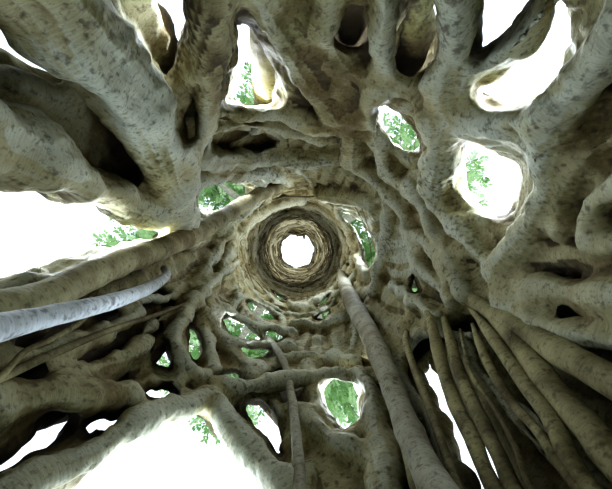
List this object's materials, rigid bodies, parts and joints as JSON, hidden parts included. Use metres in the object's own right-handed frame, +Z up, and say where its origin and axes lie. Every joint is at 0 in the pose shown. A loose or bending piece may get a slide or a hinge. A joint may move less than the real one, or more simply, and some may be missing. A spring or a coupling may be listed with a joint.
{
  "type": "strangler fig tree",
  "caption": "Hollow strangler fig: a lattice of fused roots that stands on the ground, with a doorway at its foot, an open top, spreading boughs and a leafy crown.",
  "frame": {"origin": "on the ground, under the middle leg of the great forked root", "axes": "+Z up; the doorway at the trunk's foot faces -Y; the hollow's middle lies towards -X and -Y of the origin"},
  "size_m": [16.2144, 15.9814, 21.139],
  "materials": {
    "bark": "smooth grey-olive bark with fine wrinkles",
    "pale_bark": "smooth pale grey root bark",
    "leaves": "green leaves on fine twigs"
  },
  "bodies": {
    "root": {"forked_root": "bark", "diagonal_root": "bark", "pale_pole": "pale_bark", "hanging_root": "pale_bark", "leaning_stick": "pale_bark", "arch_left": "bark", "arch_right": "bark", "brow_root": "bark", "slope_root": "bark", "leaning_rod_1": "bark", "leaning_rod_2": "bark", "leaning_rod_3": "bark", "leaning_rod_4": "bark", "leaning_rod_5": "bark", "winding_root": "bark", "root_column_01": "bark", "root_column_02": "bark", "root_column_03": "bark", "root_column_04": "bark", "root_column_05": "bark", "root_column_06": "bark", "root_column_07": "bark", "root_column_08": "bark", "root_column_09": "bark", "root_column_10": "bark", "root_column_11": "bark", "root_column_12": "bark", "root_column_13": "bark", "bough_1": "bark", "bough_2": "bark", "bough_3": "bark", "bough_4": "bark", "bough_5": "bark", "bough_6": "bark", "bough_7": "bark", "limb_1": "bark", "limb_2": "bark", "limb_3": "bark", "limb_4": "bark", "limb_5": "bark", "leaf_mass_outer_1": "leaves", "leaf_mass_outer_2": "leaves", "leaf_mass_outer_3": "leaves", "leaf_mass_outer_4": "leaves", "leaf_mass_outer_5": "leaves", "leaf_mass_outer_6": "leaves", "leaf_mass_outer_7": "leaves", "leaf_mass_upper_1": "leaves", "leaf_mass_upper_2": "leaves", "leaf_mass_upper_3": "leaves", "leaf_mass_upper_4": "leaves", "leaf_mass_upper_5": "leaves"}
  },
  "joints": []
}
